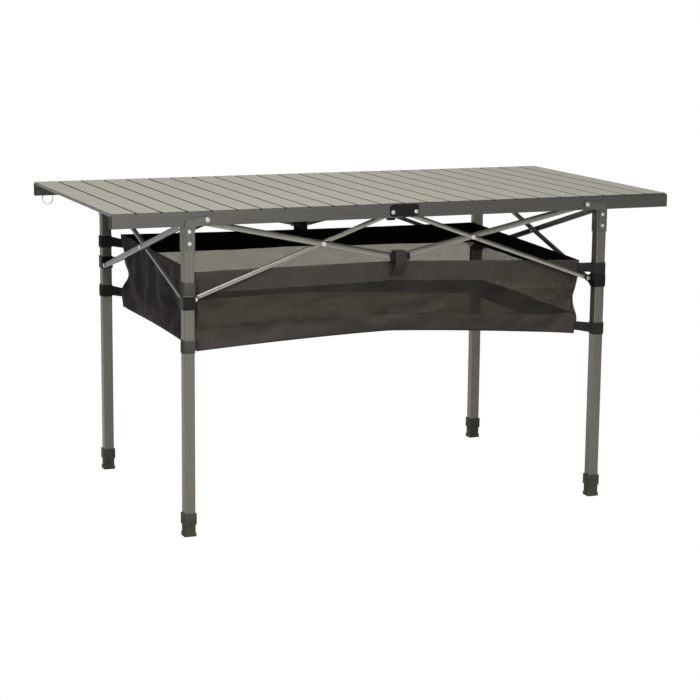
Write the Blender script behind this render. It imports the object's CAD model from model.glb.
"""Folding table frame with a slatted top and a fabric basket strapped between its four legs.

Metres, +Z up, legs standing on z = 0. The long side runs along X (left is -X, right is +X),
the front is -Y and the back is +Y. The metal and plastic parts are CAD nodes that get
materials here; the basket, its straps and the studio are built here.
"""
import math
from itertools import accumulate

import bmesh
import bpy
from mathutils import Matrix, Vector, noise


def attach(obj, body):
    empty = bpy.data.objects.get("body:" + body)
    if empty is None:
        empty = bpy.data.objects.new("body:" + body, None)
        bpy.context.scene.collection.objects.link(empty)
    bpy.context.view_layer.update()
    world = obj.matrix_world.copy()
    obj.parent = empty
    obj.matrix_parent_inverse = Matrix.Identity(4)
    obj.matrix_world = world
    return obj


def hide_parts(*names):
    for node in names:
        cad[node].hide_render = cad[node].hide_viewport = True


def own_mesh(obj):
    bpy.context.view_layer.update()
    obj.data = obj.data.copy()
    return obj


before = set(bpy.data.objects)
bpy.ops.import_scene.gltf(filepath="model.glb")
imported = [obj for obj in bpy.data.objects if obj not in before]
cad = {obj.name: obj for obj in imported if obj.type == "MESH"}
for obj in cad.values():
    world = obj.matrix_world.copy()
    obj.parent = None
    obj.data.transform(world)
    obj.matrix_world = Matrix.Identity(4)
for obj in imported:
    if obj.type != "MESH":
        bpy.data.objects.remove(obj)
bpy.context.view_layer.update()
scene = bpy.context.scene

# corner name, sign along X, sign along Y
CORNERS = (
    ("front_left", -1, -1),
    ("front_right", 1, -1),
    ("back_left", -1, 1),
    ("back_right", 1, 1),
)


# ------------------------------------------------------------------ node helpers


class Nodes:
    """Short calls for building a node tree. A value may be a constant or an output socket."""

    def __init__(self, tree):
        self.tree = tree

    def feed(self, socket, value):
        """Link a socket or set a constant; colours are given without alpha."""
        if isinstance(value, bpy.types.NodeSocket):
            self.tree.links.new(value, socket)
        else:
            socket.default_value = (*value, 1) if socket.type == "RGBA" else value

    def add(self, kind, inputs=(), **settings):
        node = self.tree.nodes.new(kind)
        for key, value in settings.items():
            setattr(node, key, value)
        for key, value in dict(inputs).items():
            self.feed(node.inputs[key], value)
        return node

    def coords(self, kind):
        node = self.tree.nodes.get("Texture Coordinate") or self.add("ShaderNodeTexCoord")
        return node.outputs[kind]

    def split(self, vector):
        return self.add("ShaderNodeSeparateXYZ", {0: vector}).outputs

    def math(self, operation, *values, clamp=False):
        node = self.add("ShaderNodeMath", enumerate(values), operation=operation, use_clamp=clamp)
        return node.outputs[0]

    def times(self, value, factor):
        return self.math("MULTIPLY", value, factor)

    def ramp(self, factor, stops):
        """Colour ramp with two (position, colour) stops."""
        node = self.add("ShaderNodeValToRGB", {"Fac": factor})
        for element, (position, colour) in zip(node.color_ramp.elements, stops):
            element.position = position
            element.color = (*colour, 1)
        return node.outputs["Color"]

    def mix(self, factor, first, second, mode="MIX"):
        node = self.add("ShaderNodeMix", {"Factor": factor}, data_type="RGBA", blend_type=mode)
        sockets = [s for s in node.inputs if s.type == "RGBA"]
        for socket, value in zip(sockets, (first, second)):
            self.feed(socket, value)
        return next(s for s in node.outputs if s.type == "RGBA")

    def mix_shaders(self, factor, first, second):
        return self.add("ShaderNodeMixShader", {0: factor, 1: first, 2: second}).outputs[0]


class Material(Nodes):
    """A node material built round its Principled BSDF."""

    def __init__(self, name):
        self.material = bpy.data.materials.new(name)
        self.material.use_nodes = True
        super().__init__(self.material.node_tree)
        self.principled = self.tree.nodes["Principled BSDF"]
        self.output = self.tree.nodes["Material Output"].inputs["Surface"]

    def set(self, **inputs):
        """Feed the Principled BSDF; underscores stand for spaces in the input names."""
        for key, value in inputs.items():
            self.feed(self.principled.inputs[key.replace("_", " ")], value)

    def noise(self, scale, detail, rough, stretch=(1, 1, 1), coord="Object",
              turn=(0, 0, 0), kind="POINT"):
        space = self.add("ShaderNodeMapping", {
            "Scale": stretch, "Rotation": turn, "Vector": self.coords(coord),
        }, vector_type=kind)
        return self.add("ShaderNodeTexNoise", {
            "Scale": scale, "Detail": detail, "Roughness": rough,
            "Vector": space.outputs["Vector"],
        }).outputs["Fac"]

    def around(self, value, middle, spread):
        """Carry 0..1 to a band of the given spread about the middle."""
        return self.math("ADD", self.times(value, spread), middle - spread / 2)

    def bump(self, height, strength, distance, normal=None):
        inputs = {"Strength": strength, "Distance": distance, "Height": height}
        if normal is not None:
            inputs["Normal"] = normal
        return self.add("ShaderNodeBump", inputs).outputs["Normal"]

    def rounded(self, radius, samples):
        node = self.add("ShaderNodeBevel", {"Radius": radius}, samples=samples)
        return node.outputs["Normal"]

    def edge(self, radius, gain=6.0):
        """1 near sharp edges, 0 on flat faces."""
        bevel = self.rounded(radius, samples=4)
        flat = self.add("ShaderNodeNewGeometry").outputs["Normal"]
        dot = self.add("ShaderNodeVectorMath", {0: bevel, 1: flat}, operation="DOT_PRODUCT")
        turned = self.math("SUBTRACT", 1.0, dot.outputs["Value"])
        return self.math("MULTIPLY", turned, gain, clamp=True)


def shade(colour, factor, lift=0.0):
    return tuple(x * factor + lift for x in colour)


# ------------------------------------------------------------------ metals and plastics


def anodised(name, base, dark, light, grain, rough, metal, brush, edge, soft=0.0):
    """Anodised aluminium: fine drawn lines, faint blotches, worn bright edges.

    grain is the line frequency along x, y, z; brush the depth of the lines; edge the share
    of wear; soft (metres) rounds the shading over the edges of slim oval bars."""
    mat = Material(name)
    lines = mat.noise(scale=1.0, detail=4.0, rough=0.65, stretch=grain)
    cloud = mat.noise(scale=9.0, detail=3.0, rough=0.55)
    speck = mat.noise(scale=900.0, detail=2.0, rough=0.6)
    colour = mat.ramp(lines, [(0.30, dark), (0.72, light)])
    colour = mat.mix(factor=0.45, first=colour, second=base)
    colour = mat.mix(mat.times(cloud, factor=0.25), colour, dark)
    flecks = mat.math("GREATER_THAN", speck, 0.66)
    colour = mat.mix(mat.times(flecks, factor=0.12), colour, light)
    worn = mat.edge(radius=0.0009)
    colour = mat.mix(mat.times(worn, edge), colour, shade(light, factor=2.0))
    roughness = mat.around(lines, middle=rough, spread=0.22)
    normal = mat.rounded(soft, samples=8) if soft else None
    normal = mat.bump(lines, strength=brush, distance=0.0004, normal=normal)
    normal = mat.bump(speck, strength=0.05, distance=0.0002, normal=normal)
    mat.set(Base_Color=colour, Metallic=metal, Roughness=roughness, Normal=normal)
    return mat.material


def plastic(name, colour, rough=0.5, grain=1600.0, edge=0.5):
    """Moulded plastic: fine spark texture, slight sheen, rubbed edges."""
    mat = Material(name)
    spark = mat.noise(scale=grain, detail=2.0, rough=0.5)
    cloud = mat.noise(scale=35.0, detail=3.0, rough=0.6)
    tint = mat.ramp(cloud, [(0.3, shade(colour, factor=0.75)), (0.75, shade(colour, factor=1.35))])
    worn = mat.edge(radius=0.0011)
    tint = mat.mix(mat.times(worn, edge), tint, shade(colour, factor=3.5, lift=0.02))
    mat.set(Base_Color=tint,
            Roughness=mat.around(spark, middle=rough, spread=0.2),
            Normal=mat.bump(spark, strength=0.25, distance=0.0003),
            Specular_IOR_Level=0.16)
    return mat.material


def steel(name, colour, rough):
    """Bright metal with tiny turned marks and scuffs."""
    mat = Material(name)
    scuff = mat.noise(scale=700.0, detail=3.0, rough=0.6)
    tint = mat.ramp(scuff, [(0.3, shade(colour, factor=0.72)), (0.7, colour)])
    mat.set(Base_Color=tint,
            Metallic=0.9,
            Roughness=mat.around(scuff, middle=rough, spread=0.2),
            Normal=mat.bump(scuff, strength=0.12, distance=0.0003))
    return mat.material


SLAT = anodised(
    "slat_metal", base=(0.30, 0.285, 0.235), dark=(0.235, 0.225, 0.185),
    light=(0.36, 0.345, 0.29), grain=(900.0, 7.0, 900.0),
    rough=0.5, metal=0.55, brush=0.10, edge=0.25)
RAIL = anodised(
    "rail_metal", base=(0.115, 0.113, 0.103), dark=(0.101, 0.099, 0.091),
    light=(0.129, 0.127, 0.115), grain=(6.0, 700.0, 700.0),
    rough=0.45, metal=0.6, brush=0.04, edge=0.35)
LEG = anodised(
    "leg_metal", base=(0.178, 0.168, 0.140), dark=(0.152, 0.143, 0.119),
    light=(0.206, 0.195, 0.162), grain=(800.0, 800.0, 6.0),
    rough=0.42, metal=0.65, brush=0.05, edge=0.4)
TOP_BAR = anodised(
    "bar_metal", base=(0.255, 0.248, 0.218), dark=(0.20, 0.195, 0.17),
    light=(0.32, 0.311, 0.272), grain=(9.0, 700.0, 60.0),
    rough=0.29, metal=0.8, brush=0.08, edge=0.1, soft=0.006)
SLIDER_BAR = anodised(
    "slider_bar_metal", base=(0.29, 0.283, 0.25), dark=(0.22, 0.215, 0.19),
    light=(0.38, 0.37, 0.33), grain=(9.0, 700.0, 60.0),
    rough=0.27, metal=0.85, brush=0.07, edge=0.2, soft=0.0045)
END_BAR = anodised(
    "end_bar_metal", base=(0.18, 0.175, 0.15), dark=(0.13, 0.127, 0.11),
    light=(0.24, 0.234, 0.2), grain=(700.0, 9.0, 60.0),
    rough=0.36, metal=0.75, brush=0.08, edge=0.3)
PLATE = anodised(
    "plate_metal", base=(0.15, 0.147, 0.133), dark=(0.11, 0.108, 0.098),
    light=(0.20, 0.196, 0.18), grain=(400.0, 400.0, 60.0),
    rough=0.38, metal=0.7, brush=0.10, edge=0.6)
RIVET = steel("rivet_metal", (0.78, 0.77, 0.73), rough=0.28)
RING = steel("ring_metal", (0.70, 0.70, 0.68), rough=0.3)
BLACK = plastic("black_plastic", (0.0125, 0.0115, 0.0105))
RAIL_CAP = plastic("rail_cap_plastic", (0.040, 0.037, 0.032))
SLEEVE = anodised(
    "sleeve_metal", base=(0.15, 0.147, 0.13), dark=(0.11, 0.108, 0.095),
    light=(0.20, 0.195, 0.172), grain=(500.0, 500.0, 20.0),
    rough=0.45, metal=0.6, brush=0.10, edge=0.4)
SLAT_END = anodised(
    "slat_end_metal", base=(0.135, 0.132, 0.118), dark=(0.10, 0.098, 0.088),
    light=(0.17, 0.166, 0.148), grain=(400.0, 400.0, 400.0),
    rough=0.5, metal=0.5, brush=0.08, edge=0.3)
GROOVE = anodised(
    "slat_groove_metal", base=(0.045, 0.042, 0.035), dark=(0.032, 0.03, 0.025),
    light=(0.06, 0.057, 0.048), grain=(400.0, 7.0, 400.0),
    rough=0.6, metal=0.3, brush=0.08, edge=0.1)
FOOT = plastic("foot_rubber", (0.112, 0.117, 0.088), rough=0.62, grain=1200.0, edge=0.35)
CORD = plastic("cord_rubber", (0.03, 0.03, 0.03), rough=0.7, grain=2600.0, edge=0.2)


# ------------------------------------------------------------------ fabrics

MESH_PITCH = 0.0014


def weave(name, colour, pitch=0.0011, rough=0.85, wave=0.18, sheen=0.12, specular=0.25):
    """Plain woven polyester: two crossed thread sets in the UVs (metres), slubs, soft sheen.

    wave is how far the weave pattern darkens the colour. Returns the Material."""
    mat = Material(name)
    uv = mat.split(mat.coords("UV"))
    turns = 2 * math.pi / pitch
    across, along = [mat.math("SINE", mat.times(uv[axis], turns)) for axis in (0, 1)]
    height = mat.around(mat.times(across, along), middle=1.0 - 0.25, spread=0.5)
    slub = mat.noise(scale=1.0, detail=3.0, rough=0.6, stretch=(120.0, 900.0, 1.0), coord="UV")
    cloud = mat.noise(scale=14.0, detail=4.0, rough=0.6)
    tint = mat.ramp(cloud, [(0.25, shade(colour, factor=0.78)), (0.8, shade(colour, factor=1.22))])
    tint = mat.mix(mat.times(height, wave), tint, shade(colour, factor=0.45))
    tint = mat.mix(mat.times(slub, factor=0.22), tint, shade(colour, factor=1.7))
    normal = mat.bump(height, strength=0.3, distance=0.0003)
    normal = mat.bump(slub, strength=0.15, distance=0.0003, normal=normal)
    mat.set(Base_Color=tint, Roughness=rough, Normal=normal, Sheen_Weight=sheen,
            Sheen_Roughness=0.4, Specular_IOR_Level=specular)
    return mat


def tape(name, colour):
    return weave(name, colour, pitch=0.0012, rough=0.9, wave=0.35).material


def mesh_fabric(name, colour, cut, uneven=0.0, slant=None):
    """Open polyester mesh: round-cornered holes cut by a lattice in the UVs (metres).

    The cloth is open where the lattice rises above cut, so a higher cut leaves smaller
    holes. uneven varies the cut along the cloth; slant is the facing range over which
    the holes close."""
    mat = weave(name, colour, pitch=0.0013, rough=0.8)
    uv = mat.split(mat.coords("UV"))
    turns = math.pi / MESH_PITCH
    lattice = mat.times(*[
        mat.math("ABSOLUTE", mat.math("SINE", mat.times(uv[axis], turns))) for axis in (0, 1)])
    back = mat.add("ShaderNodeNewGeometry").outputs["Backfacing"]
    if slant:
        # seen at a slant the yarn's thickness closes the holes
        facing = mat.add("ShaderNodeLayerWeight", {"Blend": 0.5}).outputs["Facing"]
        cut = mat.add("ShaderNodeMapRange", {
            "From Min": slant[0], "From Max": slant[1], "To Min": cut, "To Max": 1.02,
            "Value": facing,
        }, interpolation_type="SMOOTHSTEP").outputs["Result"]
    if uneven:
        # folds of the slack cloth run along it, a little slanted
        drift = mat.noise(scale=1.0, detail=3.0, rough=0.55, stretch=(1 / 6.0, 1 / 30.0, 1.0),
                          coord="UV", turn=(0.0, 0.0, 0.16), kind="TEXTURE")
        cut = mat.math("ADD", cut, mat.times(mat.math("SUBTRACT", drift, 0.5), uneven))
    hole = mat.math("MAXIMUM", mat.math("GREATER_THAN", lattice, cut), back)
    # light through the front is tinted; back faces are clear
    tint = mat.mix(back, (1.0, 0.955, 0.80), (1.0, 1.0, 1.0))
    clear = mat.add("ShaderNodeBsdfTransparent", {"Color": tint})
    cloth = mat.principled.outputs[0]
    mat.feed(mat.output, mat.mix_shaders(hole, cloth, clear.outputs[0]))
    return mat.material


BAND = weave("band_fabric", (0.088, 0.075, 0.067)).material
MESH_LEFT = mesh_fabric(
    "left_mesh_fabric", (0.033, 0.029, 0.025), cut=0.710, slant=(0.12, 0.58))
MESH_BACK = mesh_fabric("back_mesh_fabric", (0.043, 0.039, 0.033), cut=0.710)
MESH_FRONT = mesh_fabric(
    "front_mesh_fabric", (0.040, 0.036, 0.031), cut=0.710, uneven=1.0, slant=(0.58, 0.80))
MESH_RIGHT = mesh_fabric("right_mesh_fabric", (0.042, 0.038, 0.032), cut=0.792, uneven=0.10)
MESH_FLOOR = mesh_fabric("floor_mesh_fabric", (0.042, 0.038, 0.032), cut=0.849)
LINING = weave("band_lining", (0.006, 0.0055, 0.005), pitch=0.0009, rough=0.9,
               sheen=0.0, specular=0.06).material
STRAP_TAPE = tape("strap_tape", (0.042, 0.041, 0.038))
LOOP_TAPE = tape("loop_tape", (0.118, 0.114, 0.106))
CENTRE_TAPE = tape("centre_tape", (0.060, 0.056, 0.054))


# ------------------------------------------------------------------ CAD nodes: materials
# Rivets, pins and caps share a node with the part that holds them. A rule is a material
# and a test on the face centre; places are distances from the middle of the frame.

X, Y = 0, 1
PIN_RADIUS = 0.0056
SLIDER_PIN_RADIUS = 0.0054
LENGTHWISE_PIN_Y = 0.313          # pins that point along X
LENGTHWISE_PIN_X = (0.5117, 0.53195)  # their heads lie outside this range
CROSSWISE_PIN_X = 0.499           # pins that point along Y
SLEEVE_CROSSWISE_Z, SLEEVE_LENGTHWISE_Z = 0.720, 0.709
SLIDER_CROSSWISE_Z, SLIDER_LENGTHWISE_Z = 0.543, 0.532
INNER_BAR_Y, OUTER_BAR_Y = (0.306, 0.315), (0.316, 0.325)  # the two layers of long bars
BAR_SKIN = 2e-5                   # how far past a bar's face a rivet head must lie

TOP_HALF_LENGTH = 0.7
SLAT_PITCH = 2 * TOP_HALF_LENGTH / 24
GROOVE_HALF_WIDTH = 0.00256
CORD_Y, CORD_Z, CORD_RADIUS = 0.25, 0.7412, 0.00162


def outside(axis, low, high):
    return lambda c: not low <= abs(c[axis]) <= high


def in_pin(c, axis, place, z, radius=PIN_RADIUS):
    """Inside a round pin that passes through (place, z)."""
    return math.hypot(abs(c[axis]) - place, c.z - z) < radius


def lengthwise_pin(z):
    heads = outside(X, *LENGTHWISE_PIN_X)
    return lambda c: in_pin(c, Y, LENGTHWISE_PIN_Y, z) and heads(c)


def sleeve_crosswise_pin(c):
    return in_pin(c, X, CROSSWISE_PIN_X, SLEEVE_CROSSWISE_Z) and abs(c.y) < 0.3156


def slider_crosswise_pin(c):
    on_head = 0.32502 < abs(c.y) < 0.3262 or abs(c.y) > 0.33052
    return in_pin(c, X, CROSSWISE_PIN_X, SLIDER_CROSSWISE_Z, SLIDER_PIN_RADIUS) and on_head


def bar_rivet(layer):
    return outside(Y, layer[0] - BAR_SKIN, layer[1] + BAR_SKIN)


def groove_side(c):
    """Faces of a slat that look into a groove between two slats."""
    k = (c.x + TOP_HALF_LENGTH) / SLAT_PITCH
    near_joint = abs(k - round(k)) * SLAT_PITCH < GROOVE_HALF_WIDTH
    return near_joint and c.z < 0.7449 and abs(c.x) < 0.69


def cord(c):
    return in_pin(c, Y, CORD_Y, CORD_Z, CORD_RADIUS)


def paint(node, base, *rules):
    """Give a node its base material, and others to the faces the first fitting rule picks."""
    mesh = cad[node].data
    mesh.materials.clear()
    mesh.materials.append(base)
    for material, _ in rules:
        mesh.materials.append(material)
    for face in mesh.polygons:
        face.material_index = next(
            (i for i, (_, test) in enumerate(rules, 1) if test(face.center)), 0)


for tag, sx, sy in CORNERS:
    # the long bars cross: the slider bar is the outer one on the right, the inner on the left
    slider_layer, top_layer = INNER_BAR_Y, OUTER_BAR_Y
    if sx > 0:
        slider_layer, top_layer = top_layer, slider_layer
    paint("leg_tube_" + tag, LEG)
    paint("foot_" + tag, FOOT)
    paint("top_sleeve_" + tag, SLEEVE,
          (RIVET, sleeve_crosswise_pin), (RIVET, lengthwise_pin(SLEEVE_LENGTHWISE_Z)))
    paint("corner_plate_" + tag, PLATE, (RIVET, outside(Y, 0.3485, 0.35068)))
    paint("slider_" + tag, BLACK,
          (RIVET, slider_crosswise_pin), (RIVET, lengthwise_pin(SLIDER_LENGTHWISE_Z)))
    paint("rail_" + tag, RAIL, (RAIL_CAP, outside(X, 0, 0.6976)))
    paint("long_bar_slider_" + tag, SLIDER_BAR, (RIVET, bar_rivet(slider_layer)))
    paint("long_bar_top_" + tag, TOP_BAR, (RIVET, bar_rivet(top_layer)))
for side in ("front", "back"):
    paint("rail_hinge_plate_" + side, BLACK, (RIVET, outside(Y, 0, 0.35003)))
    paint("hub_" + side, BLACK, (RIVET, outside(Y, 0, 0.31532)))
    paint("centre_block_" + side, BLACK)
for side in ("left", "right"):
    paint("end_bar_front_top_" + side, END_BAR, (RIVET, outside(X, 0.52248, 0.53152)))
    paint("end_bar_back_top_" + side, END_BAR)
for i in range(1, 11):
    paint("top_section_%02d" % i, SLAT,
          (SLAT_END, outside(Y, 0, 0.34498)), (GROOVE, groove_side), (CORD, cord))
paint("hanging_ring", RING)


# ------------------------------------------------------------------ mesh helpers


def new_object(name, bm, materials, smooth=True):
    mesh = bpy.data.meshes.new(name)
    bm.to_mesh(mesh)
    bm.free()
    for material in materials:
        mesh.materials.append(material)
    if smooth:
        for face in mesh.polygons:
            face.use_smooth = True
    obj = bpy.data.objects.new(name, mesh)
    scene.collection.objects.link(obj)
    return obj


def apply_modifiers(obj):
    graph = bpy.context.evaluated_depsgraph_get()
    mesh = bpy.data.meshes.new_from_object(
        obj.evaluated_get(graph), preserve_all_data_layers=True, depsgraph=graph)
    obj.modifiers.clear()
    old = obj.data
    obj.data = mesh
    bpy.data.meshes.remove(old)


def catmull_rom(points, steps):
    """A smooth curve through the points, with this many steps between each two."""
    P = [Vector(p) for p in points]
    curve = []
    for i in range(len(P) - 1):
        p0, p1, p2, p3 = P[max(i - 1, 0)], P[i], P[i + 1], P[min(i + 2, len(P) - 1)]
        for k in range(steps):
            t = k / steps
            curve.append(0.5 * (
                (2 * p1) + (p2 - p0) * t + (2 * p0 - 5 * p1 + 4 * p2 - p3) * t * t
                + (3 * p1 - p0 - 3 * p2 + p3) * t ** 3))
    curve.append(P[-1])
    return curve


FACE_POINTS = 10         # points across each face of a ribbon
RIBBON_UV_WIDTH = 0.03
RIBBON_RIPPLE = 0.0004
RIPPLE_FREQUENCY = 60


def ribbon(name, points, across, width, thick, material, steps, seed, start=1.0, taper=0.0):
    """A closed webbing strip with thinned edges along the points; across is its width direction.

    Its width is the share start of the full width, less taper by the far end."""
    curve = catmull_rom(points, steps)
    last = len(curve) - 1
    bm = bmesh.new()
    uv = bm.loops.layers.uv.new("UVMap")
    n, m = FACE_POINTS, 2 * FACE_POINTS
    rings, lengths = [], []
    length = 0.0
    for i, q in enumerate(curve):
        tangent = (curve[min(i + 1, last)] - curve[max(i - 1, 0)]).normalized()
        sideways = Vector(across)
        sideways = (sideways - tangent * sideways.dot(tangent)).normalized()
        normal = tangent.cross(sideways).normalized()
        half_width = width * (start - taper * (i / last)) / 2
        if i:
            length += (q - curve[i - 1]).length
        lengths.append(length)
        ring = []
        for face_sign in (1, -1):
            for k in range(n):
                u = (-1 + 2 * k / (n - 1)) * face_sign
                fullness = 1 - abs(u) ** 6
                offset = thick / 2 * (0.45 + 0.55 * fullness)
                ripple = RIBBON_RIPPLE * noise.noise(Vector((
                    q.x * RIPPLE_FREQUENCY + seed,
                    q.z * RIPPLE_FREQUENCY + u * 2,
                    q.y * RIPPLE_FREQUENCY)))
                ring.append(bm.verts.new(
                    q + sideways * (u * half_width) + normal * (face_sign * offset + ripple)))
        rings.append(ring)
    for i in range(last):
        for k in range(m):
            cell = ((i, k), (i, k + 1), (i + 1, k + 1), (i + 1, k))
            face = bm.faces.new([rings[a][b % m] for a, b in cell])
            for loop, (a, b) in zip(face.loops, cell):
                loop[uv].uv = (lengths[a], b / m * 2 * RIBBON_UV_WIDTH)
    for ring in (rings[0], rings[-1]):
        for k in range(n - 1):
            bm.faces.new((ring[k], ring[k + 1], ring[m - 2 - k], ring[m - 1 - k]))
    bmesh.ops.recalc_face_normals(bm, faces=bm.faces)
    return new_object(name, bm, (material,))


# ------------------------------------------------------------------ basket shape

HALF_X, HALF_Y = 0.490, 0.2985
WALL_HEIGHT = 0.180            # used for the UVs
CELLS_X, CELLS_Y, CELLS_Z = 82, 50, 15
BAND_ROWS = 4                  # solid rows at the top and bottom of each wall
CLOTH_THICKNESS = 0.0012
BOTTOM_RISE = 0.023            # the long bottom edges rise this far in the middle
FOOT_DRAW = 0.024              # the bottom edges are drawn in this far in the middle
CORNER_REACH = 0.045           # how far a corner's pull is felt along the walls

# Heights of the basket's corners, by the signs of x and y.
TOP_Z = {(-1, -1): 0.601, (1, -1): 0.583, (-1, 1): 0.611, (1, 1): 0.603}
BOTTOM_Z = {(-1, -1): 0.4195, (1, -1): 0.4030, (-1, 1): 0.4270, (1, 1): 0.4100}

# How far out (+) or in (-) along X each corner stands: (share of height, metres).
CORNER_PROFILE = {
    (1, -1): ((0.0, -0.010), (0.22, 0.004), (0.42, -0.005), (0.76, 0.003), (1.0, -0.001)),
    (-1, 1): ((0.0, -0.003), (0.22, 0.0045), (0.43, -0.0135), (0.66, -0.001), (1.0, 0.002)),
    (-1, -1): ((0.0, -0.002), (0.2, 0.001), (0.45, -0.008), (0.7, -0.002), (1.0, 0.0)),
    (1, 1): ((0.0, -0.004), (0.2, 0.002), (0.5, -0.009), (0.75, -0.001), (1.0, 0.0)),
}

# Face groups: the four walls in order round the basket, then the halves of the floor.
FRONT, RIGHT, BACK, LEFT, FLOOR_FRONT, FLOOR_BACK = range(6)
GROUP_STEP = 100               # a face's "grp" is group * GROUP_STEP + row


def corner_out(corner, v):
    """The corner's profile at share v of the height, eased between its points."""
    profile = CORNER_PROFILE[corner]
    for (v0, out0), (v1, out1) in zip(profile, profile[1:]):
        if v <= v1:
            break
    u = (v - v0) / (v1 - v0)
    u = u * u * (3 - 2 * u)
    return out0 + (out1 - out0) * u


def between_corners(heights, a, b):
    u, v = (a + 1) / 2, (b + 1) / 2
    return (heights[(-1, -1)] * (1 - u) * (1 - v) + heights[(1, -1)] * u * (1 - v)
            + heights[(-1, 1)] * (1 - u) * v + heights[(1, 1)] * u * v)


def perimeter():
    """(a, b, wall) round the basket, where a and b run from -1 to 1 along X and Y."""
    along_x = [-1 + 2 * i / CELLS_X for i in range(CELLS_X)]
    along_y = [-1 + 2 * j / CELLS_Y for j in range(CELLS_Y)]
    back_x = [1 - 2 * i / CELLS_X for i in range(CELLS_X)]
    back_y = [1 - 2 * j / CELLS_Y for j in range(CELLS_Y)]
    return ([(a, -1, FRONT) for a in along_x] + [(1, b, RIGHT) for b in along_y]
            + [(a, 1, BACK) for a in back_x] + [(-1, b, LEFT) for b in back_y])


def wall_point(a, b, wall, row):
    """A wall vertex and its pin weight."""
    v = row / CELLS_Z
    long_wall = wall in (FRONT, BACK)
    run, half = (abs(a), HALF_X) if long_wall else (abs(b), HALF_Y)
    z_top = between_corners(TOP_Z, a, b)
    z_bottom = between_corners(BOTTOM_Z, a, b)
    if wall == FRONT:
        z_top += 0.012 * (1 - run)
    elif wall == BACK:
        z_top -= 0.003 * (1 - run * run)
    if long_wall:
        z_bottom += BOTTOM_RISE * (1 - run ** 1.2)
    x, y = a * HALF_X, b * HALF_Y
    z = z_bottom + (z_top - z_bottom) * v

    # slack: each wall hangs slightly in, with soft folds
    hang = math.sin(math.pi * v)
    broad = noise.noise(Vector((x * 5, y * 5, z * 22 + wall)))
    fine = noise.noise(Vector((x * 15 + 3, y * 15, z * 34 + wall)))
    slack = hang * (0.0075 * broad + 0.0035 * fine - 0.0065)
    foot_in = FOOT_DRAW * (1 - v) ** 1.6 * (1 - run * run)
    if long_wall:
        y += b * (slack - foot_in)
    else:
        x += a * (slack - 0.4 * foot_in)

    # the corners are drawn in between their two straps
    near = math.exp(-((1 - run) * half / CORNER_REACH) ** 2)
    corner = (1 if x > 0 else -1, 1 if y > 0 else -1)
    x += corner[0] * corner_out(corner, v) * near
    y -= math.copysign(0.005, y) * hang ** 1.5 * near

    if row in (0, CELLS_Z):
        weight = 1.0
    elif row == CELLS_Z - 1:
        weight = 0.5
    else:
        weight = 0.8 * near ** 6
    return (x, y, z), weight


def floor_point(i, j):
    a, b = -1 + 2 * i / CELLS_X, -1 + 2 * j / CELLS_Y
    x = a * (HALF_X - 0.4 * FOOT_DRAW * (1 - b * b))
    y = b * (HALF_Y - FOOT_DRAW * (1 - a * a))
    z = (between_corners(BOTTOM_Z, a, b) + BOTTOM_RISE * (1 - abs(a) ** 1.2) * abs(b) ** 2
         - 0.004 * (1 - a * a) * (1 - b * b))
    z += 0.0015 * noise.noise(Vector((a * 9, b * 6, 2.0))) * (1 - a ** 8) * (1 - b ** 8)
    return x, y, z


def basket_sheet():
    """Four walls and a floor as one sheet, with pin weights."""
    around = perimeter()
    count = len(around)
    points, weights = [], []
    for row in range(CELLS_Z + 1):
        for a, b, wall in around:
            point, weight = wall_point(a, b, wall, row)
            points.append(point)
            weights.append(weight)
    inner_start = len(points)
    for j in range(1, CELLS_Y):
        for i in range(1, CELLS_X):
            points.append(floor_point(i, j))
            weights.append(1.0)

    def floor_index(i, j):
        """The vertex at a floor grid point; the rim is shared with the walls."""
        if j == 0:
            return i
        if i == CELLS_X:
            return CELLS_X + j
        if j == CELLS_Y:
            return CELLS_X + CELLS_Y + (CELLS_X - i)
        if i == 0:
            return count - j
        return inner_start + (j - 1) * (CELLS_X - 1) + (i - 1)

    bm = bmesh.new()
    uv = bm.loops.layers.uv.new("UVMap")
    group_layer = bm.faces.layers.int.new("grp")
    verts = [bm.verts.new(p) for p in points]

    def add_face(indices, uvs, group):
        face = bm.faces.new([verts[i] for i in indices])
        face[group_layer] = group
        for loop, place in zip(face.loops, uvs):
            loop[uv].uv = place

    cell_widths = ([2 * HALF_X / CELLS_X] * CELLS_X + [2 * HALF_Y / CELLS_Y] * CELLS_Y) * 2
    distance = list(accumulate(cell_widths, initial=0.0))
    for row in range(CELLS_Z):
        for p in range(count):
            cell = ((p, row), (p + 1, row), (p + 1, row + 1), (p, row + 1))
            add_face([k * count + c % count for c, k in cell],
                     [(distance[c], k * WALL_HEIGHT / CELLS_Z) for c, k in cell],
                     around[p][2] * GROUP_STEP + row)
    for j in range(CELLS_Y):
        for i in range(CELLS_X):
            cell = ((i, j), (i, j + 1), (i + 1, j + 1), (i + 1, j))
            half = FLOOR_FRONT if j < CELLS_Y // 2 else FLOOR_BACK
            add_face([floor_index(*c) for c in cell],
                     [(a * 2 * HALF_X / CELLS_X, b * 2 * HALF_Y / CELLS_Y) for a, b in cell],
                     half * GROUP_STEP)
    sheet = new_object("basket_sim", bm, (BAND,))
    pins = sheet.vertex_groups.new(name="pin")
    for i, weight in enumerate(weights):
        pins.add([i], weight, "REPLACE")
    return sheet


# ------------------------------------------------------------------ basket cloth

CLOTH = {
    "quality": 6,
    "mass": 0.12,
    "tension_stiffness": 22,
    "compression_stiffness": 18,
    "shear_stiffness": 8,
    "bending_stiffness": 0.35,
    "tension_damping": 12,
    "compression_damping": 12,
    "shear_damping": 8,
    "bending_damping": 0.6,
    "air_damping": 2.5,
    "shrink_min": -0.024,  # negative: the cloth is cut a little large
    "shrink_max": -0.024,
    "vertex_group_mass": "pin",
    "pin_stiffness": 2.0,
}
CACHE_END = 40
SETTLED_FRAME = 32


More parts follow.
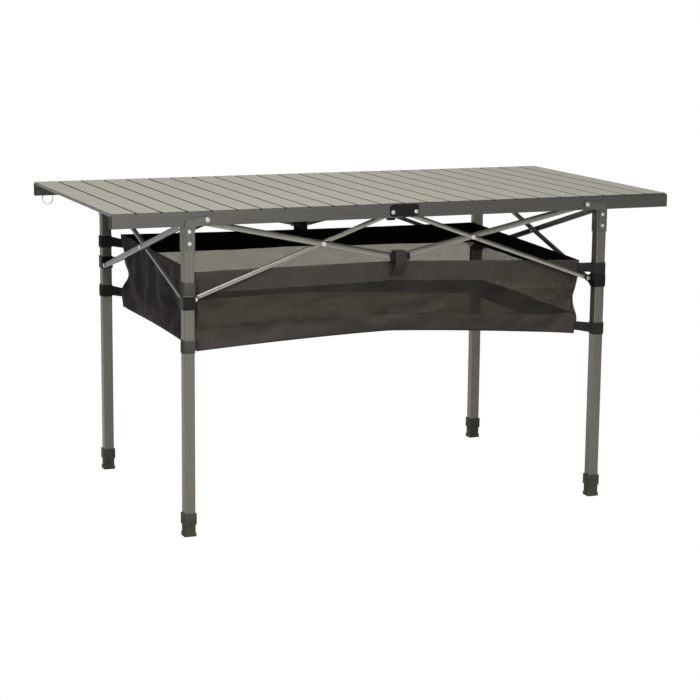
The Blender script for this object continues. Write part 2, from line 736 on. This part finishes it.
def drape(sheet):
    """Let the sheet hang from its pins and keep the settled shape."""
    cloth = sheet.modifiers.new("cloth", "CLOTH")
    for key, value in CLOTH.items():
        setattr(cloth.settings, key, value)
    cloth.collision_settings.use_self_collision = False
    cloth.collision_settings.use_collision = False
    cloth.point_cache.frame_start = 1
    cloth.point_cache.frame_end = CACHE_END
    scene.frame_start, scene.frame_end = 1, CACHE_END
    for number in range(1, SETTLED_FRAME + 1):
        scene.frame_set(number)
    apply_modifiers(sheet)
    scene.frame_set(1)


def soft_limit(value, limit, room, softness):
    """Ease a distance beyond the limit into the room past it."""
    if abs(value) <= limit:
        return value
    return math.copysign(limit + room * math.tanh((abs(value) - limit) / softness), value)


def cut_piece(sheet, name, group, materials, slot_of_row):
    """The sheet's faces of one group, subdivided and given thickness."""
    bm = bmesh.new()
    bm.from_mesh(sheet.data)
    layer = bm.faces.layers.int["grp"]
    others = [f for f in bm.faces if f[layer] // GROUP_STEP != group]
    bmesh.ops.delete(bm, geom=others, context="FACES")
    for face in bm.faces:
        face.material_index = slot_of_row(face[layer] % GROUP_STEP)
        face.smooth = True
    piece = new_object(name, bm, materials)
    # a piece keeps no pin group
    for vertex_group in list(piece.vertex_groups):
        piece.vertex_groups.remove(vertex_group)
    subdivision = piece.modifiers.new("sub", "SUBSURF")
    subdivision.levels = subdivision.render_levels = 1
    subdivision.boundary_smooth = "PRESERVE_CORNERS"
    solid = piece.modifiers.new("solid", "SOLIDIFY")
    solid.thickness = CLOTH_THICKNESS
    solid.offset = 0.0
    apply_modifiers(piece)
    return piece


# Material slots of a wall: band, mesh, top row, lining.
BAND_SLOT, MESH_SLOT, LIP_SLOT, LINING_SLOT = range(4)


def wall_slot(row):
    if row >= CELLS_Z - 1:
        return LIP_SLOT
    if row >= CELLS_Z - BAND_ROWS or row < BAND_ROWS:
        return BAND_SLOT
    return MESH_SLOT


def line_bands(piece, inward):
    """The bands are lined in black on the inside."""
    direction = Vector(inward)
    for face in piece.data.polygons:
        if face.material_index in (BAND_SLOT, LIP_SLOT) and face.normal.dot(direction) > 0.2:
            face.material_index = LINING_SLOT


def fold_along_x(piece):
    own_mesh(piece)


def fold_along_y(piece):
    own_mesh(piece)


# name, face group, mesh material, inward direction, part it rides, fold
WALLS = (
    ("front", FRONT, MESH_FRONT, (0, 1, 0), "leg_front_left", fold_along_x),
    ("right", RIGHT, MESH_RIGHT, (-1, 0, 0), "leg_front_right", fold_along_y),
    ("back", BACK, MESH_BACK, (0, -1, 0), "leg_back_left", fold_along_x),
    ("left", LEFT, MESH_LEFT, (1, 0, 0), "leg_front_left", fold_along_y),
)

sheet = basket_sheet()
drape(sheet)
# keep clear of the bars outside the basket and of the legs
for vertex in sheet.data.vertices:
    vertex.co.y = soft_limit(vertex.co.y, HALF_Y, room=0.004, softness=0.010)
    vertex.co.x = soft_limit(vertex.co.x, HALF_X, room=0.012, softness=0.016)

for side, group, mesh_material, inward, body, fold in WALLS:
    wall = cut_piece(sheet, "basket_" + side + "_wall", group,
                     (BAND, mesh_material, BAND, LINING), wall_slot)
    line_bands(wall, inward)
    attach(wall, body)
    fold(wall)
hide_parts("basket_walls")
for side, group in (("front", FLOOR_FRONT), ("back", FLOOR_BACK)):
    node = "basket_floor_" + side
    half = cut_piece(sheet, node + "_half", group, (MESH_FLOOR,), lambda row: 0)
    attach(half, node)
    fold_along_x(half)
    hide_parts(node)
bpy.data.objects.remove(sheet)


# ------------------------------------------------------------------ straps

LEG_X, LEG_Y = 0.521, 0.335
WRAP_RADIUS = 0.0139
LAP_LIFT = 0.0016

# The wrap's path round a leg in wrap radii along X and Y; + is towards the frame's middle.
WRAP = (
    (-1, -0.3), (-1, 0.55), (-0.86, 0.86), (-0.55, 1), (0.0, 1), (0.55, 1),
    (0.86, 0.86), (1, 0.55), (1, 0.0), (1, -0.55), (0.86, -0.86), (0.55, -1),
    (0.0, -1), (-0.55, -1), (-0.86, -0.86), (-1, -0.55), (-1.0, -0.05),
)
LAP_STEPS = 3  # the last steps of the path lie over its start

# Heights of the upper and lower strap: bottom edge, top edge, where the tail meets the basket.
STRAP_Z = {
    "front_left": ((0.5560, 0.5850, 0.568), (0.4250, 0.4530, 0.434)),
    "front_right": ((0.5536, 0.5816, 0.566), (0.4060, 0.4345, 0.422)),
    "back_left": ((0.5755, 0.6045, 0.587), (0.4505, 0.4795, 0.463)),
    "back_right": ((0.5575, 0.5865, 0.578), (0.4230, 0.4520, 0.434)),
}

# Side view of a centre loop: distance from the middle along Y, height.
CENTRE_LOOP = (
    (0.3005, 0.574), (0.3022, 0.600), (0.3035, 0.622), (0.3075, 0.6298),
    (0.3180, 0.6308), (0.3285, 0.6300), (0.3322, 0.6255), (0.3325, 0.612),
    (0.3310, 0.600), (0.3220, 0.584), (0.3080, 0.5760), (0.3030, 0.5735),
)


def seed_of(text):
    return sum((i + 1) * ord(c) for i, c in enumerate(text)) % 97


def leg_strap(tag, sx, sy, label, heights, material):
    """Tape wound once round the leg and lapped over itself, with a tail to the basket corner."""
    bottom, top, corner_z = heights
    middle, width = (bottom + top) / 2, top - bottom
    leg_x, leg_y, r = sx * LEG_X, sy * LEG_Y, WRAP_RADIUS
    path = []
    for i, (a, b) in enumerate(WRAP):
        lapped = max(0.0, (i - (len(WRAP) - 1 - LAP_STEPS)) / LAP_STEPS)
        lift = 1.0 + (LAP_LIFT / r) * lapped
        path.append((leg_x - sx * a * r * lift, leg_y - sy * b * r * lift, middle))
    wrap = ribbon("strap_" + label + "_" + tag, path, across=(0, 0, 1), width=width,
                  thick=0.0020, material=material, steps=3, seed=seed_of(tag + label))

    # the tail runs from the wrap's inner corner to the basket's corner
    x0, y0 = leg_x - sx * r * 0.75, leg_y - sy * r * 0.75
    z_top, z_bottom = TOP_Z[(sx, sy)], BOTTOM_Z[(sx, sy)]
    share = min(1.0, max(0.0, (corner_z - z_bottom) / (z_top - z_bottom)))
    x1 = sx * (HALF_X + corner_out((sx, sy), share) - 0.007)
    y1 = sy * (HALF_Y - 0.0005)
    step = Vector((x1 - x0, y1 - y0, 0))
    drop = corner_z - middle
    path = [
        (x0, y0, middle),
        (x0 + step.x * 0.3, y0 + step.y * 0.3, middle + drop * 0.2),
        (x0 + step.x * 0.7, y0 + step.y * 0.7, middle + drop * 0.8),
        (x1, y1, corner_z),
    ]
    tail = ribbon("strap_tail_" + label + "_" + tag, path, across=(0, 0, 1), width=width,
                  thick=0.0018, material=STRAP_TAPE, steps=4, seed=3 + seed_of(tag),
                  start=0.86, taper=0.12)
    for piece in (wrap, tail):
        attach(piece, "leg_" + tag)
    return wrap


for tag, sx, sy in CORNERS:
    material = LOOP_TAPE if tag == "front_left" else STRAP_TAPE
    wraps = [leg_strap(tag, sx, sy, label, heights, material)
             for label, heights in zip(("upper", "lower"), STRAP_Z[tag])]
    for wrap in wraps:
        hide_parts("leg_straps_" + tag)

# tape over each lower centre block, sewn to the basket's top band
for side, sy in (("front", -1), ("back", 1)):
    loop = ribbon("centre_loop_" + side, [(0.0, sy * y, z) for y, z in CENTRE_LOOP],
                  across=(1, 0, 0), width=0.027, thick=0.0016, material=CENTRE_TAPE,
                  steps=4, seed=11)
    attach(loop, "centre_block_" + side)


# ------------------------------------------------------------------ studio


def floor_finish():
    """Pale to the lights, plain white to the camera, clear from below."""
    mat = Material("studio_floor_finish")
    mat.set(Base_Color=(0.93, 0.93, 0.93), Roughness=0.9, Specular_IOR_Level=0.0,
            Emission_Color=(1, 1, 1), Emission_Strength=0.42)
    camera_ray = mat.add("ShaderNodeLightPath").outputs["Is Camera Ray"]
    white = mat.add("ShaderNodeEmission").outputs[0]
    above = mat.mix_shaders(camera_ray, mat.principled.outputs[0], white)
    below = mat.add("ShaderNodeNewGeometry").outputs["Backfacing"]
    clear = mat.add("ShaderNodeBsdfTransparent").outputs[0]
    mat.feed(mat.output, mat.mix_shaders(below, above, clear))
    return mat.material


def studio_floor():
    bm = bmesh.new()
    bmesh.ops.create_grid(bm, x_segments=2, y_segments=2, size=14.0)
    floor = new_object("studio_floor", bm, (floor_finish(),), smooth=False)
    floor.location = (0, 0, -0.0005)
    floor.visible_diffuse = False


def grey(level):
    return (level, level, level)


def studio_world():
    """White to the camera; for lighting, a sky that dims downwards and to both sides."""
    world = bpy.data.worlds.new("studio")
    scene.world = world
    world.use_nodes = True
    sky = Nodes(world.node_tree)
    sky.tree.nodes.clear()
    direction = sky.split(sky.coords("Generated"))

    def fade(axis, *stops):
        """Ramp over a direction component; stop positions run from -1 to 1."""
        share = sky.add("ShaderNodeMapRange", {
            "From Min": -1.0, "From Max": 1.0, "Value": direction[axis]}).outputs[0]
        return sky.ramp(share, [((place + 1) / 2, colour) for place, colour in stops])

    height = fade(2, (-0.08, (0.035, 0.035, 0.034)), (0.48, (0.86, 0.86, 0.85)))
    left_dim = fade(0, (-0.75, grey(0.10)), (-0.05, grey(1.0)))
    right_dim = fade(0, (0.06, grey(0.88)), (0.44, grey(0.03)))
    front = fade(1, (-0.35, grey(1.0)), (0.05, grey(0.0)))
    # the right side is dimmed only towards the front
    side = sky.mix(front, (1, 1, 1), right_dim)
    glow = sky.mix(1.0, height, left_dim, mode="MULTIPLY")
    glow = sky.mix(1.0, glow, side, mode="MULTIPLY")
    lighting = sky.add("ShaderNodeBackground", {"Color": glow, "Strength": 0.95})
    backdrop = sky.add("ShaderNodeBackground", {"Color": (1, 1, 1), "Strength": 1.0})
    camera_ray = sky.add("ShaderNodeLightPath").outputs["Is Camera Ray"]
    surface = sky.mix_shaders(camera_ray, lighting.outputs[0], backdrop.outputs[0])
    sky.add("ShaderNodeOutputWorld", {"Surface": surface})


def area_light(name, location, target, size, power, colour=(1, 1, 1)):
    light = bpy.data.lights.new(name, "AREA")
    light.shape = "RECTANGLE"
    light.size, light.size_y = size
    light.energy = power
    light.color = colour
    lamp = bpy.data.objects.new(name, light)
    scene.collection.objects.link(lamp)
    lamp.location = location
    aim = Vector(target) - Vector(location)
    lamp.rotation_euler = aim.to_track_quat("-Z", "Y").to_euler()
    lamp.visible_camera = False


def studio_camera(location, yaw, pitch, roll, lens):
    """Camera looking towards +Y, turned right by yaw and down by pitch (degrees)."""
    data = bpy.data.cameras.new("cam")
    camera = bpy.data.objects.new("cam", data)
    scene.collection.objects.link(camera)
    yaw, pitch, roll = math.radians(yaw), math.radians(pitch), math.radians(roll)
    view = Vector((math.sin(yaw) * math.cos(pitch), math.cos(yaw) * math.cos(pitch),
                   -math.sin(pitch)))
    level = Vector((math.cos(yaw), -math.sin(yaw), 0))
    upright = level.cross(view)
    right = math.cos(roll) * level + math.sin(roll) * upright
    up = -math.sin(roll) * level + math.cos(roll) * upright
    matrix = Matrix((right, up, -view)).transposed().to_4x4()
    matrix.translation = Vector(location)
    camera.matrix_world = matrix
    data.sensor_width = 36.0
    data.lens = lens
    data.clip_end = 60
    scene.camera = camera


studio_floor()
studio_world()
area_light("key_soft", location=(-0.55, -1.95, 1.35), target=(-0.38, 0, 0.45),
           size=(1.0, 1.0), power=20.3, colour=(1.0, 0.985, 0.945))
area_light("top_soft", location=(-0.1, 0.5, 3.0), target=(0.0, 0, 0.7),
           size=(2.6, 2.0), power=58)
studio_camera(location=(-1.91074, -4.63098, 1.29470),
              yaw=22.54653, pitch=10.81932, roll=0.58934, lens=105.00017)
scene.view_settings.view_transform = "Standard"
